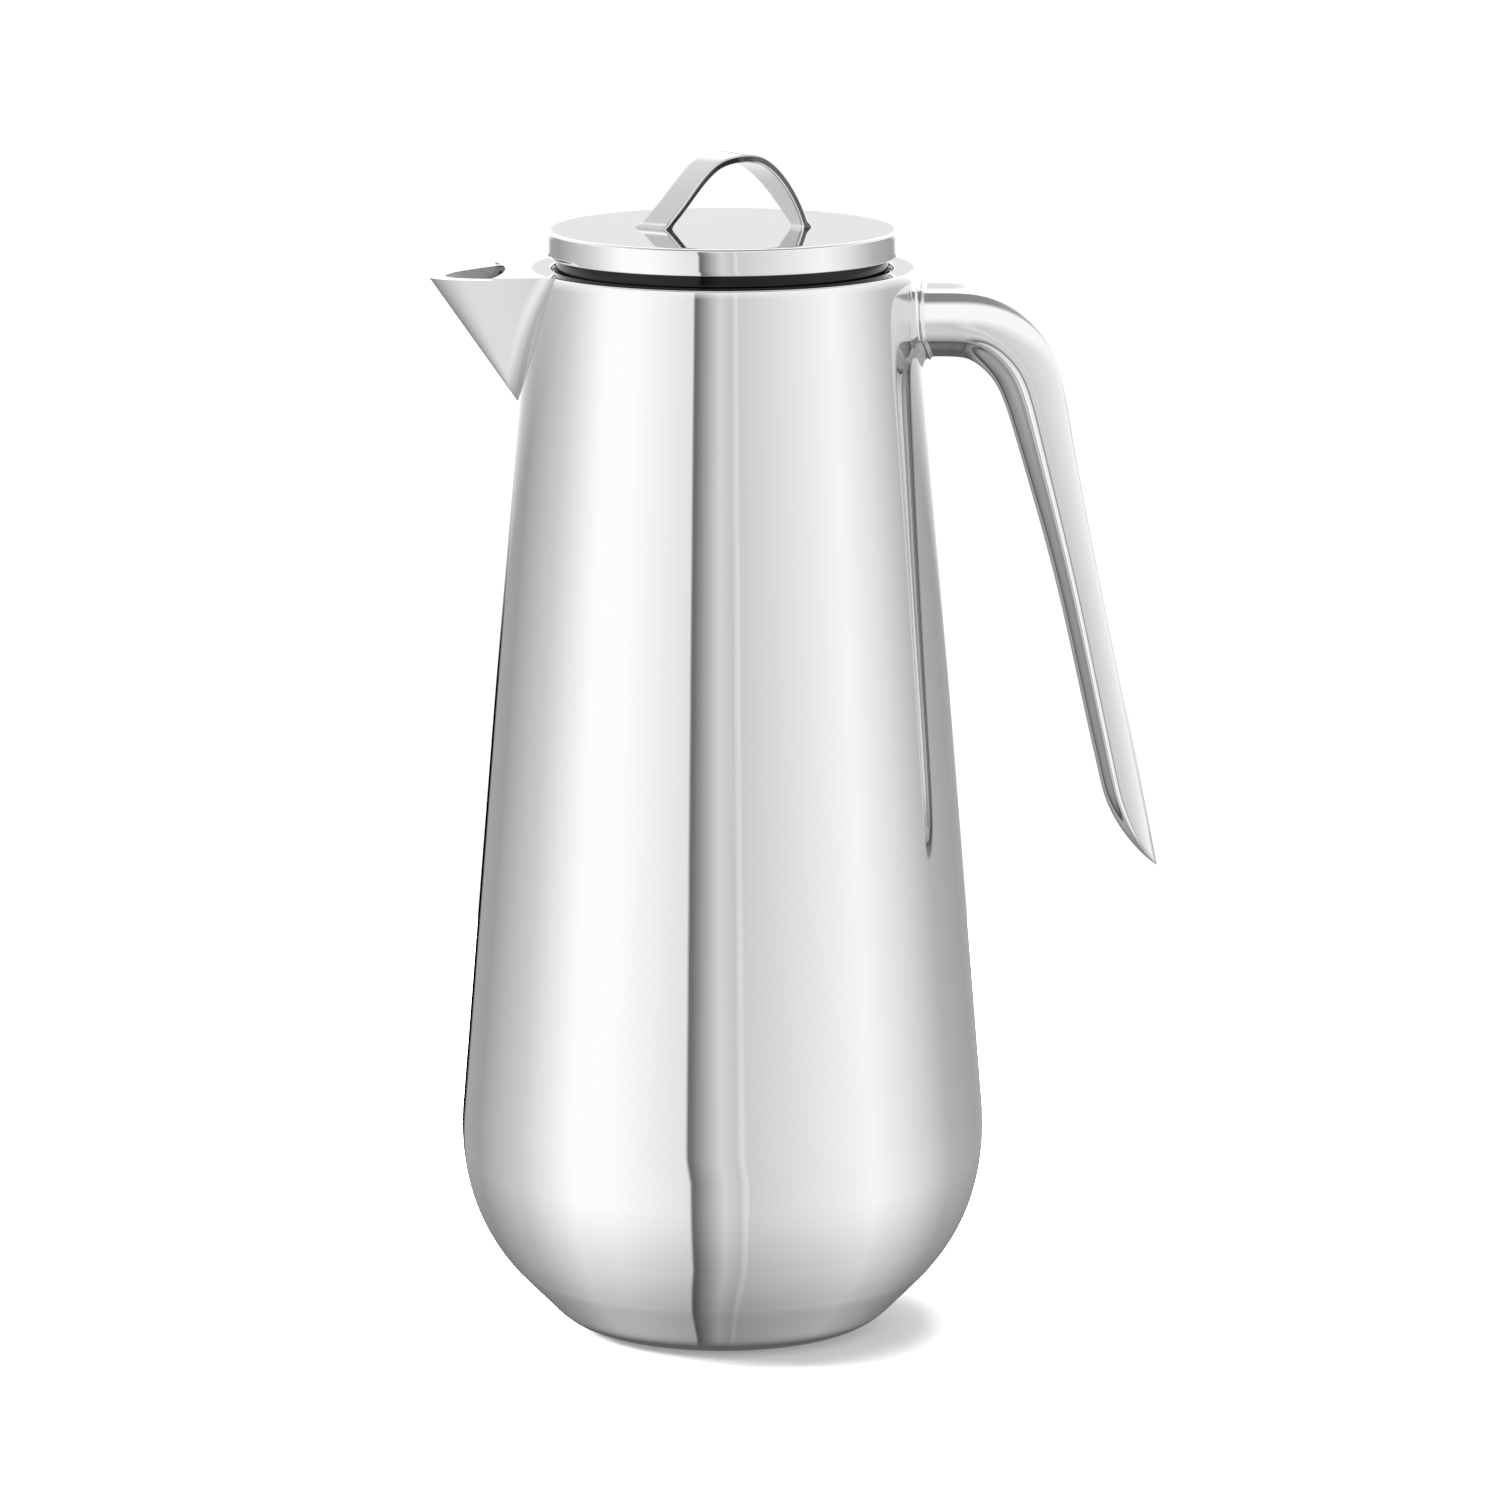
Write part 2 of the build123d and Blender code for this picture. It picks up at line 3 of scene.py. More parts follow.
import bmesh
import bpy
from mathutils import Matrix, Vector


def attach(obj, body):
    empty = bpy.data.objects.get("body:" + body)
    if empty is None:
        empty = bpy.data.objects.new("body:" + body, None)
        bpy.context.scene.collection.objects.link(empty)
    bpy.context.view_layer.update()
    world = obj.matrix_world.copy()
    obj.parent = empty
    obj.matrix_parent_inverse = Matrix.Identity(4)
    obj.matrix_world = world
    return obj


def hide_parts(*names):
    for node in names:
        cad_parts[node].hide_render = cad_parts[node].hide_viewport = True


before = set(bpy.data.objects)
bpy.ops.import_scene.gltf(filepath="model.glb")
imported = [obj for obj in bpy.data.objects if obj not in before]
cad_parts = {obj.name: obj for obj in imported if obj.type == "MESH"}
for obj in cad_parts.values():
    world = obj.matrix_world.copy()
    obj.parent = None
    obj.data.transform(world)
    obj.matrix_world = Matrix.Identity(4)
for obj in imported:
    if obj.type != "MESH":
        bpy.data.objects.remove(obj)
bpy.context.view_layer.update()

# Coffee pot: a mirror-polished double-wall steel pot with a cast V-spout, a cast open handle and a
# lift-off lid under a twisted ribbon loop.  Metres.  The spout points along -X and the handle
# along +X; the camera stands on the -Y side.

MM = 0.001

# ------------------------------------------------------------------ sizes of the pot, in millimetres
RIM = 256.9                    # level of the flat rim
RIM_RADIUS = 45.9              # where the side's line meets the rim's level
MOUTH_RADIUS = 40.6            # hole in the flat rim
LIP_DEPTH = 3.0                # how far the rim turns down into the mouth
SHELL_WALL = 0.8
BASE_LEVEL = 0.3
BASE_OPENING = 26.0            # radius of the hole that the base plate closes
BASE_FLAT = 27.2               # radius at which the flat base begins to bend up
SIDE_ANGLE = 4.67              # cone's side from the vertical, degrees
# belly bends from the base up: centre radius, centre height, bend radius, first and last angle
BENDS = ((28.4, 17.5, 17.2, -90.0, -45.0), (14.97, 46.8, 47.4, -45.0, -12.0),
         (2.65, 49.4, 60.0, -12.0, SIDE_ANGLE))
EDGE_ROUND = 0.45              # polished-off corners of rim and lip
CORNER_SHIFT = 0.02            # keeps the rounded corner on the side's line
WINDOW = (235.9, 248.9, 3.5, 11.0)   # low, high, half width low, half width high

SPOUT_REACH = 69.8             # from the pot's middle to the spout's tip
SPOUT_FOOT = (-48.4, 224.5)    # foot of the keel: x and level
SPOUT_ROOT = 40.5              # where the deck's edges leave the rim
ROOT_HALF_WIDTH = 21.6         # half the spout's width where it leaves the rim
DECK_FALL = 0.065              # fall of the deck towards the tip
NOSE_WALL = 3.8                # metal between the channel's end and the tip
CHANNEL_HALF_WIDTH = 18.2
COVER_REACH = 51.4             # middle of the cover plate's front edge
COVER_EDGE_RADIUS = 46.0       # that edge is hollow
COVER_THICKNESS = 1.7
COVER_STEP = 0.5               # how far the walls' top lies under the plate's
SPOUT_FILLET = 8.0             # round between spout and shell

LID_BOTTOM = 259.65
LID_TOP = 266.05
LID_RADIUS = 41.45
LID_SKIN = 0.9                 # thickness of the cap's steel
LID_EDGE = 0.7                 # round at the cap's upper edge
LID_FOOT = 0.3                 # round at its lower edge

# ribbon of the loop: its two outer edges, from the foot at the spout's side to the other foot
LOOP_BACK = ((-20.3, 1.5, 0.0), (-16.1, 2.0, 4.8), (-11.8, 2.6, 10.3), (-7.6, 3.2, 15.2),
             (-3.4, 3.9, 17.6), (0.3, 4.3, 17.9), (4.4, 4.8, 16.4), (9.0, 5.2, 12.6),
             (12.8, 5.5, 7.9), (15.8, 5.7, 3.5), (18.2, 5.6, 0.0))
LOOP_FRONT = ((-13.6, -3.0, 0.0), (-9.4, -2.2, 5.1), (-5.1, -1.9, 11.0), (-0.9, -2.2, 15.4),
              (3.2, -2.4, 17.3), (6.8, -2.2, 17.7), (10.3, -1.8, 16.8), (13.8, -1.0, 13.9),
              (17.0, 0.2, 9.3), (19.4, 1.8, 4.1), (20.7, 2.8, 0.0))
RIBBON = 1.9                   # thickness of the ribbon

# handle: x, level below the rim, depth and width at stations along the bow
HANDLE = ((42.0, -13.6, 18.7, 24.0), (52.0, -13.6, 18.5, 23.6), (59.5, -14.2, 18.6, 23.0),
          (65.5, -17.2, 18.6, 22.2), (70.5, -22.8, 17.9, 21.2), (73.6, -30.5, 16.4, 20.0),
          (76.6, -42.5, 14.6, 18.2), (81.2, -61.5, 12.5, 16.2), (85.9, -82.0, 11.2, 14.6),
          (91.1, -106.5, 10.6, 13.4), (96.4, -131.0, 9.8, 12.4), (100.6, -150.0, 9.2, 11.4))
TAIL_END = 10.73               # where the tip lies along the stations
TAIL_RUN = 22.0                # length over which the inner side runs out to the tip
TAIL_POINT = 10.0              # length over which the tip narrows
# half a section: sideways as a share of the half width, outwards as a share of the half depth
SECTION = ((0.0, 1.04), (0.42, 1.015), (0.77, 0.935), (0.79, 0.915), (0.84, 0.82), (0.90, 0.65),
           (0.955, 0.42), (0.99, 0.18), (1.0, -0.02), (0.985, -0.13), (0.95, -0.23), (0.90, -0.31),
           (0.82, -0.35), (0.62, -0.54), (0.38, -0.72), (0.12, -0.85))
CAMERA_PITCH = 10.28           # how far the camera looks down, in degrees


# ------------------------------------------------------------------ small tools
def side_radius(level):
    """Radius of the cone's side at a level, in millimetres."""
    return RIM_RADIUS + tan(radians(SIDE_ANGLE)) * (RIM - level)


def controls(points):
    """Control points of the smooth curve that passes through all these points."""
    through = [Vector(p) for p in points]
    held = [p.copy() for p in through]
    for _ in range(30):
        for i in range(1, len(held) - 1):
            held[i] = through[i] * 1.5 - (held[i - 1] + held[i + 1]) / 4
    return held


def bent(before, here, after, beyond, t):
    """Point of a smooth curve between its controls here and after, at the share t."""
    return (before * (1 - t) ** 3 + here * (3 * t ** 3 - 6 * t * t + 4)
            + after * (3 * t * (1 + t - t * t) + 1) + beyond * t ** 3) / 6


def along(held, at):
    """Position on the curve of those control points; at runs from 0 to their number less one."""
    i = min(max(int(at), 0), len(held) - 2)
    before = held[i - 1] if i > 0 else held[0] * 2 - held[1]
    beyond = held[i + 2] if i + 2 < len(held) else held[-1] * 2 - held[-2]
    return bent(before, held[i], held[i + 1], beyond, at - i)


def arc(r, z, radius, first, last, steps):
    """Points on an arc in a profile."""
    return [(r + radius * cos(radians(first + (last - first) * i / steps)),
             z + radius * sin(radians(first + (last - first) * i / steps))) for i in range(steps + 1)]


def straight(a, b, step):
    """Points between two points of a profile, without the points themselves."""
    count = max(1, int(hypot(b[0] - a[0], b[1] - a[1]) / step))
    return [(a[0] + (b[0] - a[0]) * i / count, a[1] + (b[1] - a[1]) * i / count) for i in range(1, count)]


def turned(profile, steps=256):
    """A bmesh turned about Z from a profile of (radius, height) in millimetres."""
    bm = bmesh.new()
    row = [bm.verts.new((r * MM, 0, z * MM)) for r, z in profile]
    edges = [bm.edges.new(pair) for pair in zip(row, row[1:])]
    bmesh.ops.spin(bm, geom=row + edges, cent=(0, 0, 0), axis=(0, 0, 1), dvec=(0, 0, 0), angle=2 * pi,
                   steps=steps, use_merge=True, use_duplicate=False)
    bmesh.ops.remove_doubles(bm, verts=bm.verts, dist=1e-7)
    bmesh.ops.recalc_face_normals(bm, faces=bm.faces)
    return bm


def shaped(across, lengthways, place, closed=True, second=()):
    """A grid with each vertex put in place by its shares across and lengthways; closed joins the
    first column to the last.  The columns in second take the second material."""
    bm = bmesh.new()
    bmesh.ops.create_grid(bm, x_segments=across, y_segments=lengthways, size=0.5)
    for f in bm.faces:
        f.material_index = int((f.calc_center_median().x + 0.5) * across) in second
    for v in bm.verts:
        v.co = place(v.co.x + 0.5, v.co.y + 0.5) * MM
    if closed:
        bmesh.ops.remove_doubles(bm, verts=bm.verts, dist=1e-8)
    return bm


def close_ends(bm):
    """Fills every open end and turns the faces outwards."""
    bmesh.ops.holes_fill(bm, edges=[e for e in bm.edges if e.is_boundary], sides=0)
    bmesh.ops.recalc_face_normals(bm, faces=bm.faces)
    return bm


def made(name, bm, *materials, crease=32.0):
    """An object from a bmesh, smooth but for its edges sharper than crease."""
    mesh = bpy.data.meshes.new(name)
    bm.to_mesh(mesh)
    bm.free()
    for material in materials:
        mesh.materials.append(material)
    for polygon in mesh.polygons:
        polygon.use_smooth = True
    mesh.set_sharp_from_angle(angle=radians(crease))
    obj = bpy.data.objects.new(name, mesh)
    bpy.context.scene.collection.objects.link(obj)
    return obj


def fitted(obj, body, slot, *nodes):
    """Puts a finished piece on its body in place of the CAD nodes that it stands for."""
    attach(obj, body)
    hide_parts(*nodes)
    return obj


def carved(obj, tool, operation):
    """Cuts obj with a tool, or keeps what is common to both, and throws the tool away."""
    change = obj.modifiers.new("carve", "BOOLEAN")
    change.operation, change.object, change.solver = operation, tool, "EXACT"
    mesh = bpy.data.meshes.new_from_object(obj.evaluated_get(bpy.context.evaluated_depsgraph_get()))
    obj.modifiers.clear()
    obj.data = mesh
    bpy.data.objects.remove(tool)


# ------------------------------------------------------------------ finishes
def linear(code):
    """A colour as linear values from its sRGB hex code."""
    parts = [int(code[i:i + 2], 16) / 255 for i in (1, 3, 5)]
    return (*[c / 12.92 if c <= 0.04045 else ((c + 0.055) / 1.055) ** 2.4 for c in parts], 1.0)


def add(tree, kind, inputs=None, **settings):
    """Adds a node with its settings, and with each input set to a value or linked to a socket."""
    node = tree.nodes.new(kind)
    for name, value in settings.items():
        setattr(node, name, value)
    for name, value in (inputs or {}).items():
        if isinstance(value, bpy.types.NodeSocket):
            tree.links.new(value, node.inputs[name])
        else:
            node.inputs[name].default_value = value
    return node


def finish(name, colour, metallic, roughness, grain_mm=None, relief_mm=0.0, detail=2.0, **extra):
    """A material with one colour and, where it has a grain, bumps of that width and relief."""
    material = bpy.data.materials.new(name)
    material.use_nodes = True
    tree = material.node_tree
    tree.nodes.clear()
    inputs = {"Base Color": linear(colour), "Metallic": metallic, "Roughness": roughness}
    inputs.update(extra.pop("inputs", {}))
    if grain_mm:
        where = add(tree, "ShaderNodeTexCoord")
        grain = add(tree, "ShaderNodeTexNoise", {
            "Vector": where.outputs["Object"], "Scale": 1 / (grain_mm * MM), "Detail": detail, "Roughness": 0.5})
        bump = add(tree, "ShaderNodeBump", {"Height": grain.outputs["Fac"], "Strength": 1.0,
                                            "Distance": relief_mm * MM})
        inputs["Normal"] = bump.outputs["Normal"]
    shader = add(tree, "ShaderNodeBsdfPrincipled", inputs)
    add(tree, "ShaderNodeOutputMaterial", {"Surface": shader.outputs["BSDF"]})
    return material


# 18/10 stainless steel, drawn, ground and buffed to a mirror: sharp reflections that waver a
# little, because the buffing leaves waves a few centimetres long and microns deep
mirror_steel = finish("buffed_stainless_steel", "#DADAD9", 1.0, 0.025, 38.0, 0.035, 1.0)
# the same steel cast, then buffed by hand: a touch softer and wavier
cast_mirror_steel = finish("buffed_cast_steel", "#DADAD9", 1.0, 0.035, 14.0, 0.02, 1.0)
# the casting's skin inside the spout, left as it came from the mould and shot-blasted: grey grains
blasted_steel = finish("blasted_cast_steel", "#A8A7A5", 1.0, 0.42, 0.45, 0.22, 3.0)
# the ribbon's narrow edges: the same steel with painted shade, darker than its polished faces, standing in for
# the dark reflections they show
shade_painted_steel = finish("edge_steel_painted_shade", "#5A5A5A", 1.0, 0.14, 0.6, 0.004, 2.0)
# deep-drawn steel inside the flask, brushed: dull, without clear reflections
satin_steel = finish("satin_stainless_steel", "#C4C4C2", 1.0, 0.32, 0.8, 0.01, 2.0)
# glossy black polypropylene, moulded: near black, with clear highlights
black_plastic = finish("gloss_black_polypropylene", "#070708", 0.0, 0.07, inputs={"Specular IOR Level": 0.25})
# translucent grey silicone, moulded: matt
grey_silicone = finish("grey_silicone", "#4A4A4B", 0.0, 0.55)
# copper foil, rolled: warm and softly shining
copper_foil = finish("rolled_copper_foil", "#C77B58", 1.0, 0.3)
# closed-cell foam: white and dull
white_foam = finish("white_polyethylene_foam", "#DEDDD8", 0.0, 0.9)


# ------------------------------------------------------------------ pot: the shell
def shell_profile():
    """Half of the shell's outline: base, belly, side, flat rim and turned-in lip."""
    profile = [(BASE_OPENING, BASE_LEVEL), (BASE_FLAT, BASE_LEVEL)]
    for r, z, radius, first, last in BENDS:
        points = arc(r, z, radius, first, last, max(8, int(radius * radians(last - first) / 1.2)))
        gap = straight(profile[-1], points[0], 1.5)
        profile += gap + points
    corner = (RIM_RADIUS - EDGE_ROUND + CORNER_SHIFT, RIM - EDGE_ROUND)
    rim = arc(*corner, EDGE_ROUND, SIDE_ANGLE, 90.0, 6)
    lip = arc(MOUTH_RADIUS + EDGE_ROUND, RIM - EDGE_ROUND, EDGE_ROUND, 90.0, 180.0, 6)
    profile += straight(profile[-1], rim[0], 2.0) + rim + straight(rim[-1], lip[0], 1.0) + lip
    return profile + [(MOUTH_RADIUS, RIM - LIP_DEPTH)]


def cut_window(bm):
    """Opens the pour window on the spout's side with four straight cuts."""
    low, high, half_low, half_high = WINDOW
    flare = (half_high - half_low) / (high - low)
    margin = 4.0

    def near(c):
        return (c.x < 0 and abs(c.y) < (half_high + margin) * MM
                and (low - margin) * MM < c.z < (high + margin) * MM)

    for place, facing in (((0, 0, low), (0, 0, 1)), ((0, 0, high), (0, 0, 1)),
                          ((0, half_low, low), (0, 1, -flare)), ((0, -half_low, low), (0, 1, flare))):
        faces = [f for f in bm.faces if near(f.calc_center_median())]
        geom = list({x for f in faces for x in [f, *f.edges, *f.verts]})
        bmesh.ops.bisect_plane(bm, geom=geom, dist=1e-8, plane_co=[c * MM for c in place], plane_no=facing)
    hole = []
    for f in bm.faces:
        c = f.calc_center_median()
        if c.x < 0 and low * MM < c.z < high * MM and abs(c.y) < (half_low + flare * (c.z / MM - low)) * MM:
            hole.append(f)
    bmesh.ops.delete(bm, geom=hole, context="FACES")


shell_bm = turned(shell_profile())
cut_window(shell_bm)
shell = made("outer_shell_polished", shell_bm, mirror_steel)
wall = shell.modifiers.new("wall", "SOLIDIFY")
wall.thickness, wall.offset = SHELL_WALL * MM, -1
fitted(shell, "pot", "polished_steel", "outer_shell")


# ------------------------------------------------------------------ pot: the spout
def deck_level(x):
    """Level of the sloping deck at x."""
    return RIM - DECK_FALL * (-x - SPOUT_ROOT)


def deck_edge(share, tip_reach, half_width):
    """Point on the deck's edge, from its root on one side over the tip to the other."""
    y = half_width * (2 * share - 1)
    x = -tip_reach + (tip_reach - SPOUT_ROOT) * (2 * share - 1) ** 2
    return Vector((x, y, deck_level(x)))


def skin_at(y_share, level):
    """Point of the spout's outer cone at a level, from the keel outwards."""
    edge = deck_edge(0.5 + y_share / 2, SPOUT_REACH, ROOT_HALF_WIDTH)
    scale = (level - SPOUT_FOOT[1]) / (edge.z - SPOUT_FOOT[1])
    return Vector((SPOUT_FOOT[0] + scale * (edge.x - SPOUT_FOOT[0]), scale * edge.y))


def spout_outline(level, count):
    """Half of the spout's outline at a level, from the keel to where its fillet meets the shell."""
    body = side_radius(level)

    def ball(share):
        """Middle of the fillet's circle where it touches the cone."""
        step = skin_at(share + 0.002, level) - skin_at(share - 0.002, level)
        return skin_at(share, level) + Vector((-step.y, step.x)).normalized() * SPOUT_FILLET

    low, high = 0.0, 1.2
    for _ in range(40):
        share = (low + high) / 2
        low, high = (share, high) if ball(share).length > body + SPOUT_FILLET else (low, share)
    centre, start = ball(share), skin_at(share, level)
    end = centre * (body / centre.length)
    first, last = start - centre, end - centre
    whole = first.angle(last, 0.0)
    straight_count = count * 2 // 3
    points = [skin_at(share * i / straight_count, level) for i in range(straight_count)]
    for i in range(count - straight_count):
        t = i / (count - straight_count - 1)
        mix = (first.lerp(last, t) if whole < 1e-4
               else (first * sin((1 - t) * whole) + last * sin(t * whole)) / sin(whole))
        points.append(centre + mix)
    return points


def spout_solid():
    """The spout's whole body up to the rim's level, closed at the back inside the shell's wall."""
    half, rows, back = 48, 84, 30      # points: half an outline, rows of them, and along the back
    foot = SPOUT_FOOT[1] + 0.5
    ring = 2 * half - 1 + back
    outlines = []
    for row in range(rows + 1):
        level = RIM + (foot - RIM) * row / rows
        right = spout_outline(level, half)
        loop = [Vector((p.x, -p.y)) for p in reversed(right)] + right[1:]
        inner = side_radius(level) - SHELL_WALL / 2
        last = atan2(right[-1].y, -right[-1].x)
        for i in range(back):
            a = last * (1 - 2 * (i + 0.5) / back)
            loop.append(Vector((-cos(a), sin(a))) * inner)
        outlines.append([Vector((p.x, p.y, level)) for p in loop])
    return shaped(ring, rows, lambda u, v: outlines[round(v * rows)][round(u * ring) % ring])


def cut_at_deck(bm, below, keep_lower):
    """Cuts a closed shape along the deck's slope, that far below the deck, and closes it again."""
    facing = Vector((-DECK_FALL, 0, 1)) * (1 if keep_lower else -1)
    bmesh.ops.bisect_plane(bm, geom=[*bm.verts, *bm.edges, *bm.faces], dist=1e-8, clear_outer=True,
                           plane_co=Vector((-SPOUT_ROOT, 0, RIM - below)) * MM, plane_no=facing)
    return close_ends(bm)


def channel_cone(below):
    """The hollow inside the spout's walls, up to a depth below the deck."""
    tip = SPOUT_REACH - NOSE_WALL
    slope = (RIM - SPOUT_FOOT[1]) / (SPOUT_REACH + SPOUT_FOOT[0])
    apex = Vector((SPOUT_FOOT[0], 0, SPOUT_FOOT[1] + NOSE_WALL * slope))
    curve, ring = 48, 56

    def place(u, v):
        i = round(u * ring) % ring
        edge = deck_edge(min(i / curve, 1.0), tip, CHANNEL_HALF_WIDTH)
        if i > curve:
            edge.y *= 1 - 2 * (i - curve) / (ring - curve)
        return apex + (edge - apex) * v * 1.15

    bm = close_ends(shaped(ring, 40, place))
    bmesh.ops.remove_doubles(bm, verts=bm.verts, dist=1e-7)
    cut_at_deck(bm, below, True)
    for f in bm.faces:
        f.material_index = 1
    return made("channel_tool", bm, cast_mirror_steel, blasted_steel)


def cover_edge_tool(depth):
    """A round tool whose side is the cover plate's hollow front edge, down to a depth below the deck."""
    bm = bmesh.new()
    bmesh.ops.create_cone(bm, cap_ends=True, segments=256, radius1=COVER_EDGE_RADIUS * MM,
                          radius2=COVER_EDGE_RADIUS * MM, depth=80 * MM)
    bmesh.ops.translate(bm, verts=bm.verts, vec=Vector((-COVER_REACH - COVER_EDGE_RADIUS, 0, RIM)) * MM)
    cut_at_deck(bm, depth, False)
    return made("cover_edge_tool", bm, cast_mirror_steel, blasted_steel)


spout_bm = close_ends(spout_solid())
cut_at_deck(spout_bm, 0.0, True)
spout = made("spout_polished", spout_bm, cast_mirror_steel, blasted_steel)
carved(spout, channel_cone(COVER_THICKNESS), "DIFFERENCE")
mouth = channel_cone(-3.0)
carved(mouth, cover_edge_tool(36.0), "INTERSECT")
carved(spout, mouth, "DIFFERENCE")
carved(spout, cover_edge_tool(COVER_STEP), "DIFFERENCE")
for polygon in spout.data.polygons:
    polygon.use_smooth = True
spout.data.set_sharp_from_angle(angle=radians(28))
fitted(spout, "pot", "polished_steel", "spout", "spout_cover")


# ------------------------------------------------------------------ pot: the handle
half_section = [Vector(p) for p in SECTION]
whole_section = half_section + [Vector((-p.x, p.y)) for p in reversed(half_section)][:-1]
section_count = len(whole_section)


def section_at(share):
    """Point of the handle's section: sideways and outwards, as shares of half width and half depth."""
    at = share * section_count
    i, t = int(at) % section_count, at - int(at)
    return bent(*(whole_section[(i + k) % section_count] for k in (-1, 0, 1, 2)), t)


handle_controls = controls(HANDLE)


def handle_frame(at):
    """Middle, run, outward direction, depth and width of the handle at a place along it."""
    x, drop, depth, width = along(handle_controls, at)
    ahead, behind = along(handle_controls, at + 0.02), along(handle_controls, at - 0.02)
    run = Vector((ahead.x - behind.x, 0, ahead.y - behind.y)).normalized()
    out = Vector((-run.z, 0, run.x))
    return Vector((x, 0, RIM + drop)), run, out, depth, width


tail_tip = handle_frame(TAIL_END)[0] + handle_frame(TAIL_END)[2] * handle_frame(TAIL_END)[3] / 2


def handle_point(around, lengthways):
    """Point of the handle's skin; the rows lie closer together towards the tip."""
    at = TAIL_END * (1 - (1 - lengthways) ** 1.35)
    middle, run, out, depth, width = handle_frame(at)
    face = middle + out * depth / 2
    left = max(0.0, (tail_tip - face).dot(run))
    if left < TAIL_RUN:
        depth *= (1 - (1 - left / TAIL_RUN) ** 2) ** 0.9
        middle = face - out * depth / 2
    if left < TAIL_POINT:
        width *= sqrt(1 - (1 - left / TAIL_POINT) ** 2)
    side, outwards = section_at(around)
    return middle + Vector((0, 1, 0)) * side * width / 2 + out * outwards * depth / 2


handle_bm = shaped(72, 260, handle_point)
bmesh.ops.remove_doubles(handle_bm, verts=handle_bm.verts, dist=1e-6)
handle = made("handle_polished", close_ends(handle_bm), cast_mirror_steel, crease=60)
fitted(handle, "pot", "polished_steel", "handle")

# the shell's skin is drawn out round the handle's root, and ends in a narrow welded bead
ROOT_AT = 0.4                           # where the root lies along the handle's stations
ROOT_SPREAD = (10.5, 3.0, 4.5)          # sideways, upwards, downwards
FLARE_ROWS = 0.6                        # share of the rows that make the flare; the rest make the bead
FLARE_SINK = 0.08                       # the flare starts that far inside the shell's skin
# bead across its width: how far along the handle, and how far proud of it
BEAD = ((1.0, 0.55), (1.15, 0.25), (1.3, 0.6), (1.6, 0.72), (1.9, 0.6), (2.05, 0.2), (2.3, 0.15), (2.5, -0.2))


def on_shell(p):
    """Point of the shell's side with that sideways place and level."""
    return Vector((sqrt(side_radius(p.y) ** 2 - p.x ** 2), p.x, p.y))


def root_point(around, lengthways):
    """Point of the flare, and beyond it of the bead."""
    middle, _, _, depth, width = handle_frame(ROOT_AT)
    side, outwards = section_at(around)
    facing = Vector((side / width, outwards / depth)).normalized()
    root = Vector((side * width / 2, middle.z + outwards * depth / 2))
    spread = ROOT_SPREAD[0] * facing.x ** 2 + ROOT_SPREAD[1 if facing.y > 0 else 2] * facing.y ** 2
    corner = on_shell(root)
    if lengthways <= FLARE_ROWS:
        t = lengthways / FLARE_ROWS
        start = on_shell(root + facing * spread) - Vector((FLARE_SINK, 0, 0))
        end = corner + Vector((BEAD[0][0], facing.x * BEAD[0][1], facing.y * BEAD[0][1]))
        bend = on_shell(root + facing * spread * 0.12)
        return start * (1 - t) ** 2 + bend * 2 * t * (1 - t) + end * t * t
    at = (lengthways - FLARE_ROWS) / (1 - FLARE_ROWS) * (len(BEAD) - 1)
    i = min(int(at), len(BEAD) - 2)
    forward, proud = (BEAD[i][k] + (BEAD[i + 1][k] - BEAD[i][k]) * (at - i) for k in (0, 1))
    return corner + Vector((forward, facing.x * proud, facing.y * proud))


root_bm = shaped(96, 50, root_point)
bmesh.ops.recalc_face_normals(root_bm, faces=root_bm.faces)
root_ring = made("handle_root_polished", root_bm, cast_mirror_steel, crease=70)
fitted(root_ring, "pot", "polished_steel", "handle_root_ring")


# ------------------------------------------------------------------ lid: cap and loop
def cap_profile():
    """Half of the cap's outline: top, rounded edge, side and the hollow under it."""
    top = arc(LID_RADIUS - LID_EDGE, LID_TOP - LID_EDGE, LID_EDGE, 90.0, 0.0, 8)
    foot = arc(LID_RADIUS - LID_FOOT, LID_BOTTOM + LID_FOOT, LID_FOOT, 0.0, -90.0, 4)
    inner = LID_RADIUS - LID_SKIN
    flat = [(0.0, LID_TOP)] + straight((0.0, LID_TOP), top[0], 2.0)
    return (flat + top + straight(top[-1], foot[0], 1.0) + foot
            + [(inner, LID_BOTTOM), (inner, LID_TOP - LID_SKIN), (0.0, LID_TOP - LID_SKIN)])


cap = made("lid_cap_polished", turned(cap_profile()), mirror_steel)
fitted(cap, "lid", "polished_steel", "lid_cap")

loop_back, loop_front = controls(LOOP_BACK), controls(LOOP_FRONT)
FOOT_RUN, FOOT_SPREAD = 1.5, 0.45       # weld at each foot: its height, and how far it spreads
FOOT_SINK = 0.025                       # share of its length by which the ribbon runs into the lid


def bar_outline(half_width, half_depth, radius):
    """Outline of a flat bar with rounded corners, with a few points on each flat."""
    points = []
    for x, y, first in ((1, 1, 0), (-1, 1, 90), (-1, -1, 180), (1, -1, 270)):
        corner = Vector((x * (half_width - radius), y * (half_depth - radius)))
        points += [corner + Vector((cos(radians(first + 22.5 * i)), sin(radians(first + 22.5 * i)))) * radius
                   for i in range(5)]
    outline = []
    for i, p in enumerate(points):
        outline.append(p)
        if i % 5 == 4:
            outline += [p.lerp(points[(i + 1) % 20], t) for t in (0.08, 0.5, 0.92)]
    return outline


BAR_POINTS = 32                         # points round the ribbon
RIBBON_ROUND = 0.35                     # round of its corners


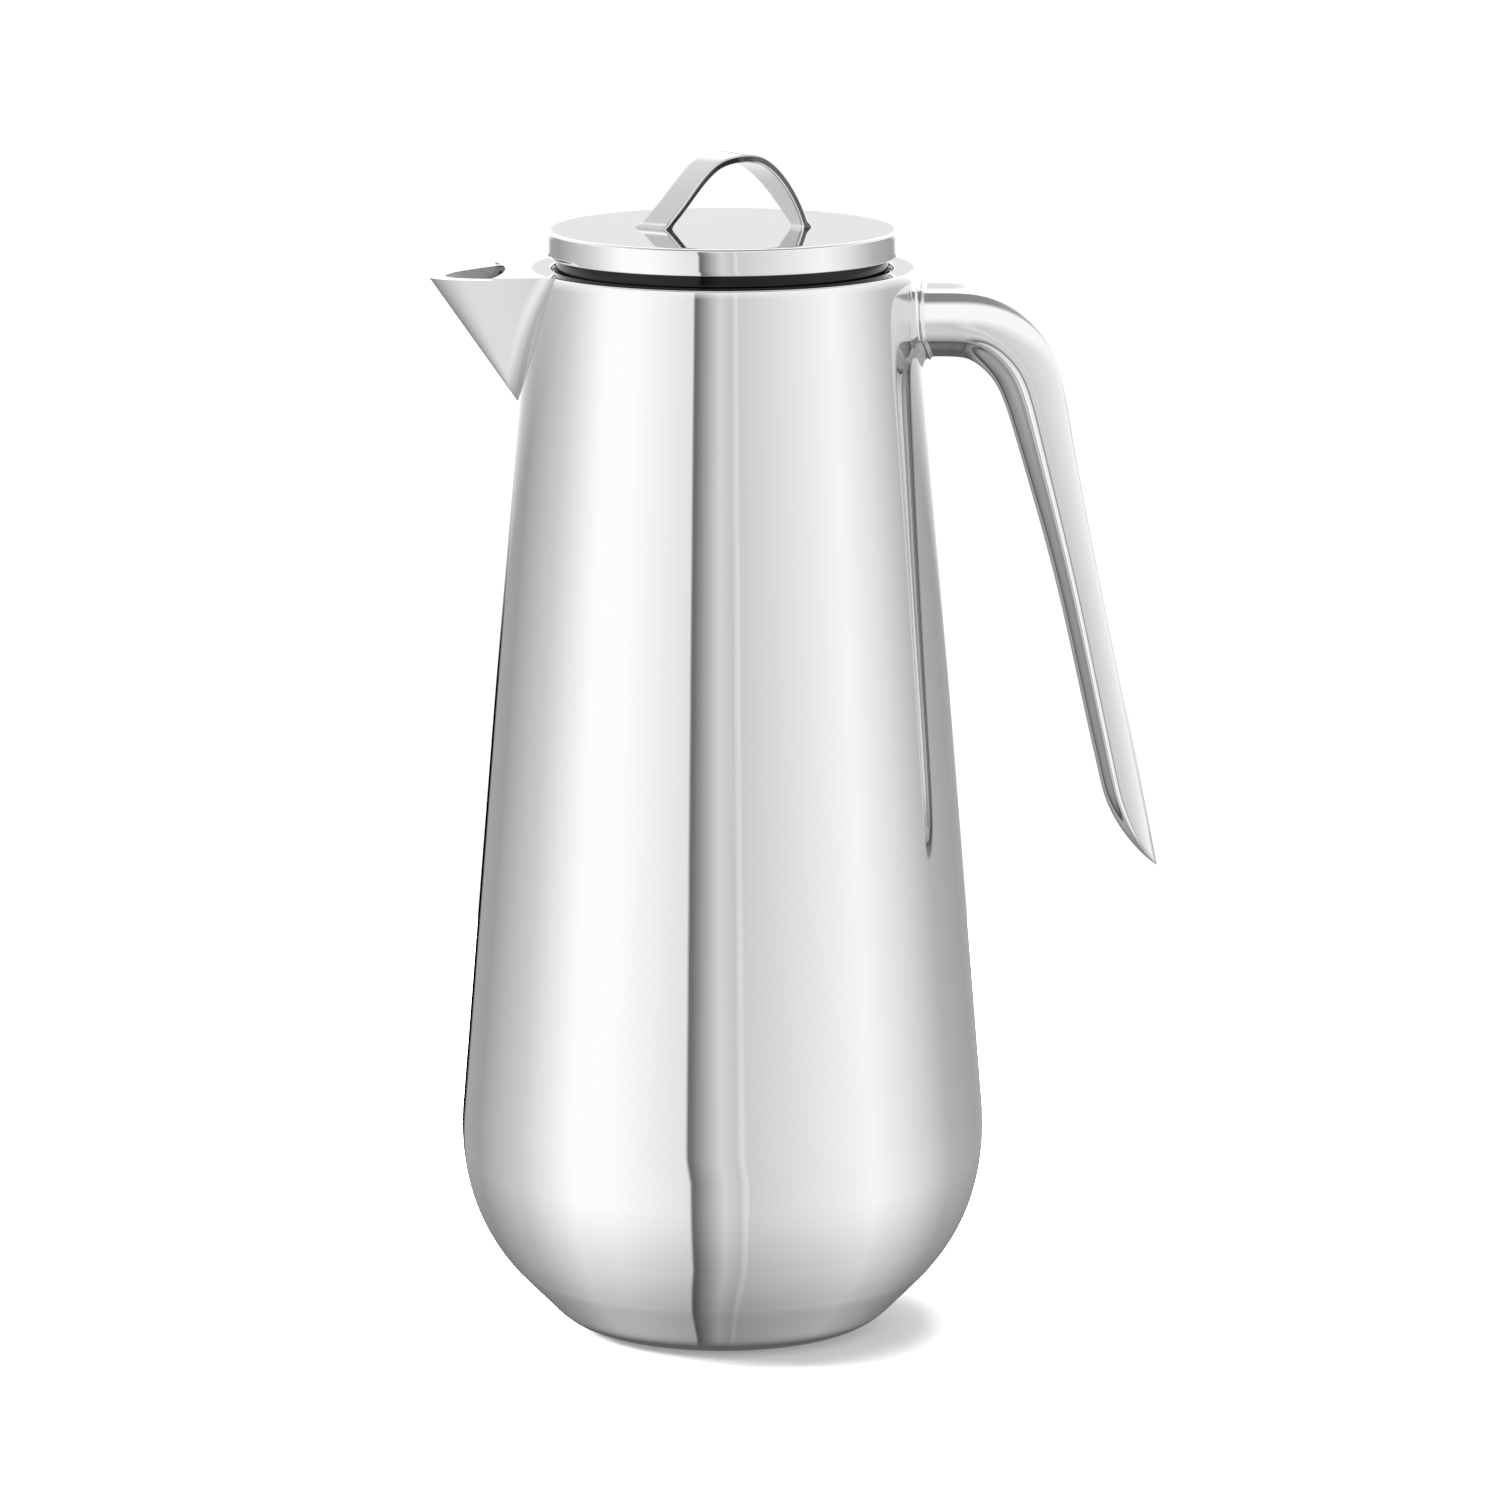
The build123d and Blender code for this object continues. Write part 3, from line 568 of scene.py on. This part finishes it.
def loop_point(around, lengthways):
    """Point of the ribbon's skin, thickened a little at its two welded feet."""
    at = (lengthways * (1 + 2 * FOOT_SINK) - FOOT_SINK) * (len(LOOP_BACK) - 1)
    back, front = along(loop_back, at), along(loop_front, at)
    step = (along(loop_back, at + 0.01) - along(loop_back, at - 0.01)
            + along(loop_front, at + 0.01) - along(loop_front, at - 0.01)).normalized()
    across = front - back
    width = across.length
    across.normalize()
    inwards = step.cross(across).normalized()
    middle = (back + front) / 2 + inwards * RIBBON / 2
    grow = FOOT_SPREAD * max(0.0, 1 - max(0.0, middle.z) / FOOT_RUN) ** 2
    outline = bar_outline(width / 2 + grow, RIBBON / 2 + grow, RIBBON_ROUND)
    x, y = outline[round(around * BAR_POINTS) % BAR_POINTS]
    return middle + across * x + inwards * y + Vector((0, 0, LID_TOP))


# the columns of the outline that are the ribbon's two narrow edges; they take the steel with painted shade
EDGE_COLUMNS = (*range(12, 16), *range(28, 32))
loop_bm = close_ends(shaped(BAR_POINTS, 140, loop_point, second=EDGE_COLUMNS))
loop = made("lid_loop_polished", loop_bm, cast_mirror_steel, shade_painted_steel, crease=60)
fitted(loop, "lid", "polished_steel", "lid_loop")

# ------------------------------------------------------------------ the other pieces keep their CAD shape
steel_inside = ("inner_liner", "liner_bottom", "shoulder_ring", "base_plate", "evacuation_seal",
                "getter", "loop_studs", "loop_nuts", "stopper_screws")
soft = ("base_pad", "spout_seal", "collar_gasket", "mouth_seal", "lid_gasket")
plastic = ("pour_collar", "lid_core", "stopper_body", "stopper_base")
for names, material in ((steel_inside, satin_steel), (soft, grey_silicone), (plastic, black_plastic),
                        (("copper_foil",), copper_foil), (("stopper_foam",), white_foam)):
    for name in names:
        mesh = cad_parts[name].data
        mesh.materials.clear()
        mesh.materials.append(material)

# ------------------------------------------------------------------ floor, light and camera
# matt white card
white_card = finish("matt_white_card", "#F4F4F4", 0.0, 1.0, inputs={"Specular IOR Level": 0.0})
floor_bm = bmesh.new()
bmesh.ops.create_circle(floor_bm, cap_ends=True, segments=96, radius=0.5)
floor = made("floor", floor_bm, white_card)
floor.visible_glossy = False

# The studio is told by the way a mirror must face to show it to the camera: turn in degrees, 0
# towards the camera and positive to the right, and tilt above or below level.  Round it at level:
# a black flag at the far left, a grey wall, a soft box that fades at its sides, a dark gap beside it,
# a thin light near the camera, a second soft box and a grey wall
LOOK = (0.0, cos(radians(CAMERA_PITCH)), -sin(radians(CAMERA_PITCH)))
ROUND_STUDIO = ((-90, 0.0), (-82, 0.0), (-80, 0.3), (-68, 0.3), (-50, 0.55), (-35, 0.9), (-25, 0.9),
                (-7.5, 0.7), (-7, 0.1), (0, 0.6), (4, 0.5), (4.4, 0.7), (4.8, 0.7), (5.2, 0.55), (35, 0.85),
                (45, 0.7), (60, 0.4), (75, 0.3), (90, 0.3))
# the table under it is lit by the same boxes and fades downwards
TABLE, NEAR_TABLE = 0.72, 0.52
UNDERNEATH = 0.09              # the floor beside the pot's foot, in its own shade
# above level: the dark room over the camera between two high soft boxes
HIGH_STUDIO = ((-90, 0.92), (-50, 0.80), (-30, 0.50), (-15, 0.25), (0, 0.21), (15, 0.25), (35, 0.45),
               (60, 0.80), (90, 0.90))
LIGHT_BAND = 0.86              # a long soft box over the camera, under that dark room
CEILING, BACK_WALL = 1.0, 0.60
BRIGHT = 1.55                  # strength of the whole studio
PAPER = 1.1                    # strength of the white paper behind the pot

world = bpy.data.worlds.new("studio")
bpy.context.scene.world = world
world.use_nodes = True
sky = world.node_tree
sky.nodes.clear()
direction = add(sky, "ShaderNodeTexCoord")
between = add(sky, "ShaderNodeVectorMath", {0: direction.outputs["Generated"], 1: LOOK}, operation="SUBTRACT")
facing = add(sky, "ShaderNodeVectorMath", {0: between.outputs[0]}, operation="NORMALIZE")
parts = add(sky, "ShaderNodeSeparateXYZ", {"Vector": facing.outputs[0]})
nearer = add(sky, "ShaderNodeMath", {0: parts.outputs["Y"], 1: -1.0}, operation="MULTIPLY")
turn = add(sky, "ShaderNodeMath", {0: parts.outputs["X"], 1: nearer.outputs[0]}, operation="ARCTAN2")
# the boxes lean a little, and more so near the table
lean = add(sky, "ShaderNodeMapRange", {"Value": parts.outputs["Z"], "From Min": -0.04, "From Max": 0.09,
                                       "To Min": radians(-0.5), "To Max": radians(0.7)})
deeper = add(sky, "ShaderNodeMapRange", {"Value": parts.outputs["Z"], "From Min": -0.45, "From Max": -0.85,
                                         "To Max": radians(2.6)})
both_leans = add(sky, "ShaderNodeMath", {0: lean.outputs[0], 1: deeper.outputs[0]})
leant = add(sky, "ShaderNodeMath", {0: turn.outputs[0], 1: both_leans.outputs[0]})
share = add(sky, "ShaderNodeMapRange", {"Value": leant.outputs[0], "From Min": -pi / 2, "From Max": pi / 2})


def round_studio(stops, level=1.0):
    """Brightness by turn, dimmed to a share of itself."""
    node = add(sky, "ShaderNodeValToRGB", {"Fac": share.outputs[0]})
    ramp = node.color_ramp
    while len(ramp.elements) > 1:
        ramp.elements.remove(ramp.elements[-1])
    for i, (degree, value) in enumerate(stops):
        place = (degree + 90) / 180
        stop = ramp.elements[0] if i == 0 else ramp.elements.new(place)
        stop.position, stop.color = place, (value * level, value * level, value * level, 1)
    return node.outputs["Color"]


def towards(first, second, low, high):
    """Passes from the first brightness to the second as the tilt rises from low to high degrees."""
    rise = add(sky, "ShaderNodeMapRange", {"Value": parts.outputs["Z"], "From Min": sin(radians(low)),
                                           "From Max": sin(radians(high))})
    node = add(sky, "ShaderNodeMix", {0: rise.outputs[0]}, data_type="RGBA")
    for socket, value in ((node.inputs[6], first), (node.inputs[7], second)):
        if isinstance(value, bpy.types.NodeSocket):
            sky.links.new(value, socket)
        else:
            socket.default_value = (value, value, value, 1)
    return node.outputs[2]


under = towards(UNDERNEATH, round_studio(ROUND_STUDIO, NEAR_TABLE), -58, -44)
table = towards(under, round_studio(ROUND_STUDIO, TABLE), -42, -28)
round_level = towards(table, round_studio(ROUND_STUDIO), -27, -9)
band = towards(round_level, LIGHT_BAND, 7, 12)
upper = towards(band, round_studio(HIGH_STUDIO), 21, 25)
top = towards(upper, CEILING, 46, 60)
whole = towards(top, BACK_WALL, 80, 84.5)
lit = add(sky, "ShaderNodeBackground", {"Color": whole, "Strength": BRIGHT})
plain = add(sky, "ShaderNodeBackground", {"Color": (1, 1, 1, 1), "Strength": PAPER})
seen = add(sky, "ShaderNodeLightPath")
both = add(sky, "ShaderNodeMixShader", {0: seen.outputs["Is Camera Ray"], 1: lit.outputs[0],
                                        2: plain.outputs[0]})
add(sky, "ShaderNodeOutputWorld", {"Surface": both.outputs[0]})


def soft_light(name, place, aim, size, power):
    """A square soft light that shines from place towards aim."""
    lamp = bpy.data.lights.new(name, "AREA")
    lamp.shape, lamp.size, lamp.energy = "SQUARE", size, power
    obj = bpy.data.objects.new(name, lamp)
    obj.location = place
    obj.rotation_mode = "QUATERNION"
    obj.rotation_quaternion = (Vector(aim) - Vector(place)).to_track_quat("-Z", "Y")
    bpy.context.scene.collection.objects.link(obj)
    return obj


# both lamps only light the floor and the matt pieces: the steel mirrors the studio
for lamp in (soft_light("key_light", (-1.3, -0.1, 1.1), (0, 0, 0.05), 1.0, 110.0),
             soft_light("fill_light", (-0.2, 0.0, 2.4), (0, 0, 0), 2.4, 170.0)):
    lamp.visible_glossy = False

camera_data = bpy.data.cameras.new("camera")
camera_data.lens, camera_data.sensor_width = 214.15, 36.0
camera_data.clip_start, camera_data.clip_end = 0.1, 40.0
camera = bpy.data.objects.new("camera", camera_data)
camera.location = (0.0066, -2.1, 0.5214)
camera.rotation_euler = (radians(90 - CAMERA_PITCH), 0, 0)
bpy.context.scene.collection.objects.link(camera)
bpy.context.scene.camera = camera
bpy.context.scene.view_settings.view_transform = "Standard"
